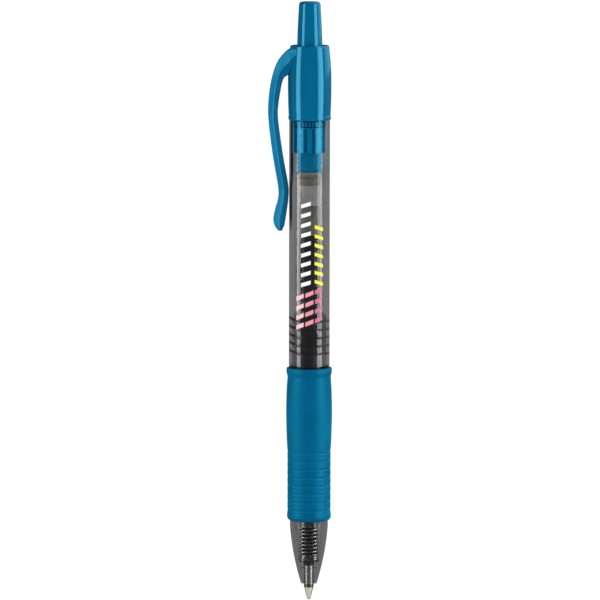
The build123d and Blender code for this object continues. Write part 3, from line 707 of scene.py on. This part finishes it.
# ---- clip sleeve ----
def build_sleeve():
    collar_r, collar_low = 4.96, BARREL_HIGH + FIT
    bore_r = 3.02
    spigot_r = BARREL_BORE_R - FIT
    recess_r, recess_low = 3.42, 111.25
    # below the cam's slots the spigot is a thin skirt that clears the rising refill
    skirt_r, skirt_high = 3.35, 107.2
    slit_r = skirt_r + 0.06
    slit_low, slit_high = SPIGOT_LOW + 0.15, recess_low - 0.35
    slit_angle, slit_half = math.radians(15), math.radians(5.6)
    slot_high, slot_half = 116.8, math.radians(12.5)
    recessed_r = (3.38, 3.46)    # faces of the slits and of the recess lie between these radii
    tooth_count, tooth_size, tooth_centre = 28, (0.40, 0.52, 1.15), (3.58, 0, 112.1)
    slack = 0.005    # rounded() keeps heights in single precision
    outer = curve([(4.89, 114.0), (4.96, 115.6), (5.03, 117.6), (SLEEVE_R, 121.5), (5.00, 124.7),
                   (4.79, 127.4), (4.56, 129.7)], 8)
    outline = [(skirt_r, SPIGOT_LOW), (spigot_r, SPIGOT_LOW, 0.08), (spigot_r, slit_low - 0.02),
               (spigot_r, slit_low), (spigot_r, slit_high), (spigot_r, slit_high + 0.02),
               (spigot_r, recess_low), (recess_r, recess_low), (recess_r, collar_low),
               (4.80, collar_low, 0.1), (collar_r, collar_low + 0.15, 0.15),
               (collar_r, collar_low + 0.75, 0.2), (4.88, collar_low + 0.95)]
    outline += outer + [(4.53, SLEEVE_HIGH, 0.42), (3.25, SLEEVE_HIGH), (bore_r, SLEEVE_HIGH - 0.2),
                        (bore_r, slot_high + 0.02), (bore_r, slot_high), (bore_r, skirt_high),
                        (skirt_r, skirt_high - 0.03)]

    def bend(r, z, angle):
        quarter = (angle + math.pi / 4) % (math.pi / 2) - math.pi / 4
        beside_rib = abs(abs(quarter) - slit_angle) < slit_half
        in_slit = beside_rib and slit_low - slack < z < slit_high + slack
        if in_slit and abs(r - spigot_r) < 0.01:
            return slit_r
        # four slots in the bore guide the ribs of the button and the rotor
        in_slot = abs(quarter) < slot_half and skirt_high - slack < z < slot_high + slack
        return skirt_r if in_slot and abs(r - bore_r) < 0.01 else r

    vertices, faces = revolved(rounded(outline), sides=2 * SIDES, bend=bend)
    for k in range(tooth_count):
        block(vertices, faces, 2 * math.pi * k / tooth_count, tooth_size, tooth_centre)
    materials = [blue_gloss, blue_inside_brightened, blue_shadow, blue_slit_shade]
    collar, spigot, recess, slit = range(4)
    sleeve = make("clip_sleeve_body", vertices, faces, materials)
    # the recess and the slits take darker copies of the blue: painted shade
    for face in sleeve.data.polygons:
        centre = face.center / MM
        if centre.z > collar_low - 0.01:
            face.material_index = collar
        elif not recessed_r[0] < centre.xy.length < recessed_r[1] or centre.z < slit_low:
            face.material_index = spigot
        else:
            face.material_index = slit if centre.z < slit_high else recess
    place(sleeve, "barrel", "clip_sleeve")


# ---- pocket clip: hexagonal section swept along the arm, bending at its root ----
CLIP_LINE = 0.10    # half the width of the moulding line
# stations along the arm: outer x and z, inner x and z, half width at the ridge
CLIP_STATIONS = [
    (-3.0, 129.6, -3.0, 127.5, 3.62),
    (-4.1, 129.6, -4.0, 125.7, 3.35),
    (-5.2, 129.1, -5.0, 123.6, 2.95),
    (-6.4, 127.95, -5.75, 123.0, 2.6),
    (-7.45, 126.5, -6.15, 122.4, 2.35),
    (-8.35, 124.4, -6.45, 121.4, 2.15),
    (-9.15, 121.1, -6.75, 119.9, 2.05),
    (-9.62, 117.2, -7.2, 117.0, 2.0),
    (-9.62, 113.4, -7.38, 113.6, 2.0),
    (-8.90, 107.0, -6.6, 107.3, 2.0),
    (-8.10, 101.9, -5.75, 102.1, 2.0),
    (-7.30, 97.2, -4.90, 97.3, 2.0),
    (-7.32, 94.5, -4.90, 94.7, 2.0),
    (-7.95, 92.2, -5.22, 92.1, 2.0),
    (-8.42, 89.9, -5.60, 89.7, 2.0),
    (-8.15, 88.4, -5.85, 88.3, 1.9),
    (-7.55, 87.45, -6.25, 87.5, 1.6),
]


def clip_section(half_thickness, half_width):
    """A flattened hexagon with rounded corners and a fine moulding line down each side."""
    slope, corner_r = 0.24, 0.30
    line, proud = CLIP_LINE, 0.05
    face = half_width - slope * half_thickness
    flank = half_width - slope * line
    side = [(half_thickness, face, corner_r), (line, flank), (line * 0.7, flank + proud),
            (0, flank + proud * 1.3), (-line * 0.7, flank + proud), (-line, flank),
            (-half_thickness, face, corner_r)]
    other = [(-corner[0], -corner[1], *corner[2:]) for corner in side]
    return rounded(side + other, steps=5)


def build_clip():
    thinnest = 0.6
    cap_steps, cap_reach = 4, 0.55
    vertices, faces, rings, offsets = [], [], [], []
    for x1, z1, x2, z2, half_width in curve(CLIP_STATIONS, 6):
        outer, inner = Vector((x1, 0, z1)), Vector((x2, 0, z2))
        centre, across = (outer + inner) / 2, (outer - inner) / 2
        half_thickness = max(across.length, thinnest)
        along = across.normalized()
        ring = []
        for s, t in clip_section(half_thickness, half_width):
            ring.append(len(vertices))
            vertices.append(tuple(centre + along * s + Vector((0, t, 0))))
            offsets.append(s)
        rings.append(ring)
    # a rounded end cap: the last section shrinks over most of a quarter circle
    last = [Vector(vertices[i]) for i in rings[-1]]
    centre = sum(last, Vector()) / len(last)
    down = Vector((0.25, 0, -1)).normalized()
    for k in range(1, cap_steps + 1):
        turn = math.pi / 2 * k / (cap_steps + 0.6)
        shift = down * cap_reach * math.sin(turn)
        ring = []
        for point, source in zip(last, rings[0]):
            ring.append(len(vertices))
            vertices.append(tuple(centre + (point - centre) * math.cos(turn) + shift))
            offsets.append(offsets[source])
        rings.append(ring)
    for a, b in zip(rings, rings[1:]):
        for k in range(len(a)):
            n = (k + 1) % len(a)
            faces.append((a[k], a[n], b[n], b[k]))
    faces.append(tuple(reversed(rings[0])))
    faces.append(tuple(rings[-1]))
    clip = make("pocket_clip_arm", vertices, faces, [clip_inner, clip_outer_lit, clip_line_highlight], sharp=60)
    for face in clip.data.polygons:
        reach = [offsets[v] for v in face.vertices]
        # painted highlight: the moulding line takes the lightest blue
        if max(map(abs, reach)) < CLIP_LINE + 0.01:
            face.material_index = 2
        elif min(reach) > 0:
            # painted light: the outer half of the section gets a lighter blue, as it faces more of the
            # light
            face.material_index = 1
    clip.modifiers.new("flat", "WEIGHTED_NORMAL").keep_sharp = True
    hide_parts("pocket_clip")
    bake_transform(clip)


# ---- knock button and rotor ----
def build_knock():
    body_r, bore_r = 2.95, 2.08
    straight_high = SLEEVE_HIGH - 0.1
    bore_high = KNOCK_HIGH - 1.2
    rib_count, rib_size, rib_centre = 4, (0.45, 1.1, 1.7), (3.05, 0, 110.35)
    outline = [(bore_r, KNOCK_LOW), (body_r, KNOCK_LOW, 0.05), (body_r, straight_high),
               (2.80, 134.6), (2.57, 138.8), (2.49, KNOCK_HIGH - 0.09, 0.75),
               (1.2, KNOCK_HIGH - 0.02), (0, KNOCK_HIGH), (0, bore_high), (1.5, bore_high),
               (bore_r, SLEEVE_HIGH)]
    vertices, faces = revolved(rounded(outline))
    for k in range(rib_count):
        block(vertices, faces, 2 * math.pi * k / rib_count, rib_size, rib_centre)
    knock = make("knock_cap", vertices, faces, [blue_gloss])
    place(knock, "knock", "knock_button")


def finish_cad_node(name, material):
    """A CAD node that keeps its own shape: clean shading and a finish."""
    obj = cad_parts[name]
    obj.data.materials.clear()
    obj.data.materials.append(material)
    obj.data.shade_smooth()
    obj.modifiers.new("weld", "WELD").merge_threshold = 1e-7
    obj.modifiers.new("crease", "EDGE_SPLIT").split_angle = math.radians(30)


# ---- refill ----
TUBE_BORE_R = 2.55
PLUG_R = TUBE_BORE_R - FIT
PIPE_SEAT_R = 1.175    # the metal pipe's seat in the holder


def build_tube():
    outline = [(TUBE_BORE_R, TUBE_LOW), (TUBE_R, TUBE_LOW, 0.05), (TUBE_R, TUBE_HIGH, 0.05),
               (TUBE_BORE_R, TUBE_HIGH)]
    tube = lathe("refill_tube", outline, [tube_clear])
    place(tube, "refill", "ink_tube")


def build_plug():
    vent_r, plug_low = 0.5, 97.6
    rim_low = TUBE_HIGH + FIT
    outline = [(vent_r, plug_low), (2.4, plug_low, 0.1), (PLUG_R, plug_low + 0.3), (PLUG_R, rim_low),
               (TUBE_R, rim_low, 0.05), (TUBE_R, PLUG_HIGH, 0.2), (vent_r, PLUG_HIGH, 0.05)]
    plug = lathe("refill_plug", outline, [plug_white, plug_rim])
    material_above(plug, TUBE_HIGH, 1)
    place(plug, "refill", "tail_plug")


def build_ink():
    """The grease and the ink are columns with hollow tops."""
    outline = [(0, GREASE_LOW), (INK_R, GREASE_LOW), (INK_R, GREASE_HIGH), (1.5, GREASE_HIGH - 0.5),
               (0, GREASE_HIGH - 0.7)]
    follower = lathe("refill_grease", outline, [grease])
    place(follower, "refill", "grease_follower")

    channel_r, channel_low = 0.88, PIPE_HIGH + FIT
    column_low = HOLDER_HIGH + FIT
    outline = [(0, channel_low), (channel_r, channel_low), (channel_r, column_low),
               (INK_R, column_low), (INK_R, INK_HIGH - 0.05, 0.03), (1.6, INK_HIGH - 0.25),
               (0, INK_HIGH - 0.4)]
    ink = lathe("refill_ink", outline, [ink_black])
    place(ink, "refill", "gel_ink")


def build_holder():
    tail_r, tail_high = 1.25, 9.0
    stem_r, stem_low = 1.65, 9.35
    channel_r = 0.9
    shoulder = SPRING_HIGH + FIT
    rim = TUBE_LOW - FIT
    outline = [(PIPE_SEAT_R, HOLDER_LOW), (tail_r, HOLDER_LOW, 0.03), (tail_r, tail_high),
               (stem_r, stem_low, 0.1), (stem_r, shoulder), (TUBE_R, shoulder, 0.15),
               (TUBE_R, rim, 0.05), (PLUG_R, rim), (PLUG_R, HOLDER_HIGH - 0.4), (2.25, HOLDER_HIGH),
               (channel_r, HOLDER_HIGH), (channel_r, PIPE_HIGH), (PIPE_SEAT_R, PIPE_HIGH)]
    holder = lathe("refill_tip_holder", outline, [holder_tail, holder_dark])
    material_above(holder, tail_high + 0.2, 1)
    place(holder, "refill", "tip_holder")


def build_point():
    cone_high = 3.2
    socket_r, bore_r = 0.18, 0.75
    socket_high, bore_low = cone_high + 0.1, cone_high + 0.6
    junction_shade_low, junction_shade_high = cone_high - 0.20, cone_high + 0.62
    outline = [(socket_r, 0.55), (BALL_R * 1.06, 0.40), (BALL_R * 1.01, 0.26), (0.42, 0.24, 0.02),
               (1.09, cone_high - 0.25), (1.10, cone_high - 0.15), (1.15, cone_high + 0.05),
               (PIPE_R, cone_high + 0.35), (PIPE_R, junction_shade_high), (PIPE_R, PIPE_HIGH, 0.05),
               (bore_r, PIPE_HIGH), (bore_r, bore_low), (socket_r, socket_high)]
    tip = lathe("refill_point", outline, [nickel, pipe_junction_shade, pipe_steel])
    # the foot of the pipe takes the dark band of painted shade
    material_above(tip, junction_shade_low, 1)
    material_above(tip, junction_shade_high, 2)
    place(tip, "refill", "writing_tip")

    steps = 24
    angles = [math.pi * k / steps for k in range(steps + 1)]
    arc = [(BALL_R * math.sin(angle), BALL_R - BALL_R * math.cos(angle)) for angle in angles]
    ball = lathe("point_ball", arc, [carbide], sides=48)
    place(ball, "ball", "writing_ball")


# ---- return spring: closed coils at both ends, open coils between ----
WIRE_R, WIRE_SIDES = 0.20, 12
COIL_R = 2.08
CLOSED_TURNS, OPEN_TURNS = 2.6, 8.0
CLOSED_PITCH = 0.46
STEPS_PER_TURN = 40
HEIGHT_STEPS = 60


def spring_path(start, end):
    """The wire's centre line, with the pitch changing smoothly between the stretches."""
    turns = 2 * CLOSED_TURNS + OPEN_TURNS
    open_pitch = (end - start - 2 * CLOSED_TURNS * CLOSED_PITCH) / OPEN_TURNS
    count = int(turns * STEPS_PER_TURN)

    def height(turn):
        total, step = start, turn / HEIGHT_STEPS
        for k in range(HEIGHT_STEPS):
            at = (k + 0.5) * step
            inner = min(at - CLOSED_TURNS, turns - CLOSED_TURNS - at)
            ease = min(1.0, max(0.0, inner / 0.5 + 0.5))
            total += step * (CLOSED_PITCH + (open_pitch - CLOSED_PITCH) * ease)
        return total

    path = []
    for k in range(count + 1):
        turn = turns * k / count
        angle = 2 * math.pi * turn
        path.append(Vector((COIL_R * math.cos(angle), COIL_R * math.sin(angle), height(turn))))
    stretch = (end - start) / (path[-1].z - path[0].z)
    for point in path:
        point.z = start + (point.z - start) * stretch
    return path


def build_spring():
    start, end = SPRING_LOW + WIRE_R, SPRING_HIGH - WIRE_R
    path = spring_path(start, end)
    count = len(path) - 1
    vertices, faces = [], []
    for k, point in enumerate(path):
        ahead = path[min(k + 1, count)] - path[max(k - 1, 0)]
        ahead.normalize()
        out = Vector((point.x, point.y, 0)).normalized()
        side = ahead.cross(out).normalized()
        for n in range(WIRE_SIDES):
            a = 2 * math.pi * n / WIRE_SIDES
            vertices.append(tuple(point + (out * math.cos(a) + side * math.sin(a)) * WIRE_R))
    for k in range(count):
        for n in range(WIRE_SIDES):
            m = (n + 1) % WIRE_SIDES
            a, b = k * WIRE_SIDES, (k + 1) * WIRE_SIDES
            faces.append((a + n, b + n, b + m, a + m))
    faces.append(tuple(range(WIRE_SIDES)))
    faces.append(tuple(reversed(range(count * WIRE_SIDES, (count + 1) * WIRE_SIDES))))
    spring = make("return_spring_coil", vertices, faces, [wire_steel], sharp=50)
    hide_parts("return_spring")
    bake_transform(spring)
    return spring


# ---- printed decoration on the barrel: slanted bars in five colours ----
PRINT_LIFT, PRINT_ROOT = 0.012, -0.01
FRONT = -math.pi / 2
STRIPS_PER_BAR = 6


def film_patch(vertices, faces, corners, across, up):
    """A thin raised film on the barrel. corners are (arc, height) offsets from its centre."""
    low_ring, high_ring = [], []
    for lift, ring in ((PRINT_ROOT, low_ring), (PRINT_LIFT, high_ring)):
        for s, t in corners:
            angle = FRONT + (across + s) / BARREL_R
            r = BARREL_R + lift
            ring.append(len(vertices))
            vertices.append((r * math.cos(angle), r * math.sin(angle), up + t))
    faces.append(tuple(high_ring))
    count = len(corners)
    for k in range(count):
        n = (k + 1) % count
        faces.append((low_ring[k], low_ring[n], high_ring[n], high_ring[k]))


def bar_row(width, height, slant, across, start, pitch, count):
    """A row of slanted bars up the barrel, each as (corners, across, up)."""
    corners = [(-width / 2, -height / 2), (width / 2, -height / 2 + slant),
               (width / 2, height / 2 + slant), (-width / 2, height / 2)]
    return [(corners, across, start + n * pitch) for n in range(count)]


def mix(first, second, share):
    return tuple(np.array(first) * (1 - share) + np.array(second) * share)


def printed(name, material, bars):
    """One piece of print. Each bar is cut into narrow strips, to follow the barrel's curve."""
    vertices, faces = [], []
    for (low_left, low_right, high_right, high_left), across, up in bars:
        for k in range(STRIPS_PER_BAR):
            a, b = k / STRIPS_PER_BAR, (k + 1) / STRIPS_PER_BAR
            strip = [mix(low_left, low_right, a), mix(low_left, low_right, b),
                     mix(high_left, high_right, b), mix(high_left, high_right, a)]
            film_patch(vertices, faces, strip, across, up)
    film = make(name, vertices, faces, [material])
    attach(film, "barrel")


def build_print():
    printed("print_row_white", print_white, bar_row(
        width=2.3, height=0.9, slant=0.7, across=-0.85, start=74.6, pitch=2.3, count=9))
    printed("print_row_yellow", print_yellow, bar_row(
        width=2.2, height=0.8, slant=-0.7, across=2.35, start=75.5, pitch=2.13, count=7))
    waves = ((print_pale, -2.3), (print_pink, 0.0), (print_rose, 2.3))
    for index, (material, across) in enumerate(waves):
        printed(f"print_wave_{index}", material, bar_row(
            width=1.9, height=1.0, slant=0.8, across=across, start=64.6 + index * 0.8, pitch=2.25,
            count=4))


# ---- build the pen ----
build_barrel()
build_front()
build_grip()
build_sleeve()
build_clip()
build_knock()
finish_cad_node("cam_rotor", blue_rotor_brightened)
build_tube()
build_plug()
build_ink()
build_holder()
build_point()
coil = build_spring()
build_print()


# ---- floor, light and camera ----
CAMERA_TILT = math.radians(6)
CAMERA_ROLL = math.radians(0.09)
CAMERA_DISTANCE = 1.4
FRAME_WIDTH = 0.1402
AIM = Vector((-0.00217, 0, 0.0707))
FLOOR_DROP = 0.16
FLOOR_SIDE, FLOOR_FRONT, FLOOR_BACK = 6.0, -0.7, 7.0
MATTE_GLOW, CAMERA_GLOW, GLOSS_GLOW = 0.45, 0.95, 0.15    # what each kind of ray sees of the floor
SOFTBOX_HEIGHT, SOFTBOX_DISTANCE, SOFTBOX_Z = 1.4, 0.60, 0.05
STRIP_RADIANCE = 7.0
COIL_RADIANCE = 8.0
SOFT_RADIANCE = 4.4
LEFT_GLOW, RIGHT_GLOW, FRONT_GLOW, BEHIND_DIP = 0.05, 1.05, 0.05, 0.9


def ray_is(tree, kind):
    return node(tree, "ShaderNodeLightPath", output=f"Is {kind} Ray")


def build_floor():
    mesh = bpy.data.meshes.new("floor")
    corners = [(-FLOOR_SIDE, FLOOR_FRONT, 0), (FLOOR_SIDE, FLOOR_FRONT, 0),
               (FLOOR_SIDE, FLOOR_BACK, 0), (-FLOOR_SIDE, FLOOR_BACK, 0)]
    mesh.from_pydata(corners, [], [(0, 1, 2, 3)])
    floor = bpy.data.objects.new("floor", mesh)
    floor.location.z = -FLOOR_DROP
    bpy.context.scene.collection.objects.link(floor)
    material, tree, surface = new_material("pale_floor")
    colour = scaled(tree, (1, 1, 1), ramp(tree, noise_value(tree, 3.0), 0.24, 0.26))
    diffuse = node(tree, "ShaderNodeBsdfDiffuse", {"Color": colour})
    seen = lerp(tree, ray_is(tree, "Camera"), MATTE_GLOW, CAMERA_GLOW)
    strength = lerp(tree, ray_is(tree, "Glossy"), seen, GLOSS_GLOW)
    glow = node(tree, "ShaderNodeEmission", {"Color": (1, 1, 1, 1), "Strength": strength})
    both = node(tree, "ShaderNodeAddShader", {0: diffuse, 1: glow})
    tree.links.new(both, surface)
    mesh.materials.append(material)


def softbox(name, azimuth, radiance, seen_by, width=0.32):
    """An upright area light facing the pen. Azimuth 0 is behind the camera, positive to the right.
    It lights either the gloss or the matte part of the surfaces."""
    light = bpy.data.lights.new(name, "AREA")
    light.shape = "RECTANGLE"
    light.size, light.size_y = width, SOFTBOX_HEIGHT
    light.energy = radiance * math.pi * width * SOFTBOX_HEIGHT
    lamp = bpy.data.objects.new(name, light)
    turn = math.radians(azimuth)
    out = Vector((math.sin(turn), -math.cos(turn), 0))
    lamp.location = out * SOFTBOX_DISTANCE + Vector((0, 0, SOFTBOX_Z))
    lamp.rotation_euler = (-out).to_track_quat("-Z", "Y").to_euler()
    lamp.visible_camera = False
    lamp.visible_diffuse = seen_by == "matte"
    lamp.visible_glossy = seen_by == "gloss"
    bpy.context.scene.collection.objects.link(lamp)
    return lamp


def link_light(lamp, obj, state):
    """Let a lamp light only this object (INCLUDE), or everything but this object (EXCLUDE)."""
    receivers = bpy.data.collections.new(f"{lamp.name}_receivers")
    receivers.objects.link(obj)
    lamp.light_linking.receiver_collection = receivers
    receivers.collection_objects[0].light_linking.link_state = state


def build_world():
    """White behind the pen to the camera. In reflections: dark in front, dim at the left, bright at
    the right, and dark again straight behind, which draws the dark edges of glossy and clear parts."""
    world = bpy.data.worlds.new("studio")
    bpy.context.scene.world = world
    world.use_nodes = True
    world.cycles.sampling_method = "NONE"
    tree = world.node_tree
    tree.nodes.clear()
    across, depth, up = separate(tree, node(tree, "ShaderNodeTexCoord", output="Generated"))
    sides = ramp(tree, across, LEFT_GLOW, RIGHT_GLOW, -0.2, 0.2)
    sides = times(tree, sides, smooth(tree, depth, -0.08, 0.06))
    dip = times(tree, smooth(tree, depth, 0.80, 0.92), BEHIND_DIP)
    room = times(tree, maths(tree, "ADD", sides, FRONT_GLOW), maths(tree, "SUBTRACT", 1.0, dip))
    strength = lerp(tree, ray_is(tree, "Camera"), room, 1.0)
    glow = node(tree, "ShaderNodeBackground", {"Color": (1, 1, 1, 1), "Strength": strength})
    surface = tree.nodes.new("ShaderNodeOutputWorld").inputs["Surface"]
    tree.links.new(glow, surface)


def build_camera():
    lens = bpy.data.cameras.new("camera")
    lens.sensor_width = 36.0
    lens.lens = lens.sensor_width * CAMERA_DISTANCE / FRAME_WIDTH
    camera = bpy.data.objects.new("camera", lens)
    back = Vector((0, -math.cos(CAMERA_TILT), math.sin(CAMERA_TILT)))
    camera.location = AIM + back * CAMERA_DISTANCE
    upright = (-back).to_track_quat("-Z", "Y")
    camera.rotation_euler = (upright @ Quaternion((0, 0, 1), CAMERA_ROLL)).to_euler()
    bpy.context.scene.collection.objects.link(camera)
    bpy.context.scene.camera = camera


build_floor()
link_light(softbox("strip_left", -63, STRIP_RADIANCE, "gloss", width=0.257), coil, "EXCLUDE")
link_light(softbox("strip_right", 62, STRIP_RADIANCE, "gloss", width=0.33), coil, "EXCLUDE")
# the nose's lens effect moves the coil's highlights outwards, so the coil has its own strips
link_light(softbox("coil_left", -83, COIL_RADIANCE, "gloss", width=0.26), coil, "INCLUDE")
link_light(softbox("coil_right", 83, COIL_RADIANCE, "gloss", width=0.26), coil, "INCLUDE")
softbox("soft_left", -50, SOFT_RADIANCE, "matte")
softbox("soft_right", 58, SOFT_RADIANCE, "matte")
build_world()
build_camera()
scene = bpy.context.scene
scene.view_settings.view_transform = "Standard"
scene.cycles.transparent_max_bounces = 64
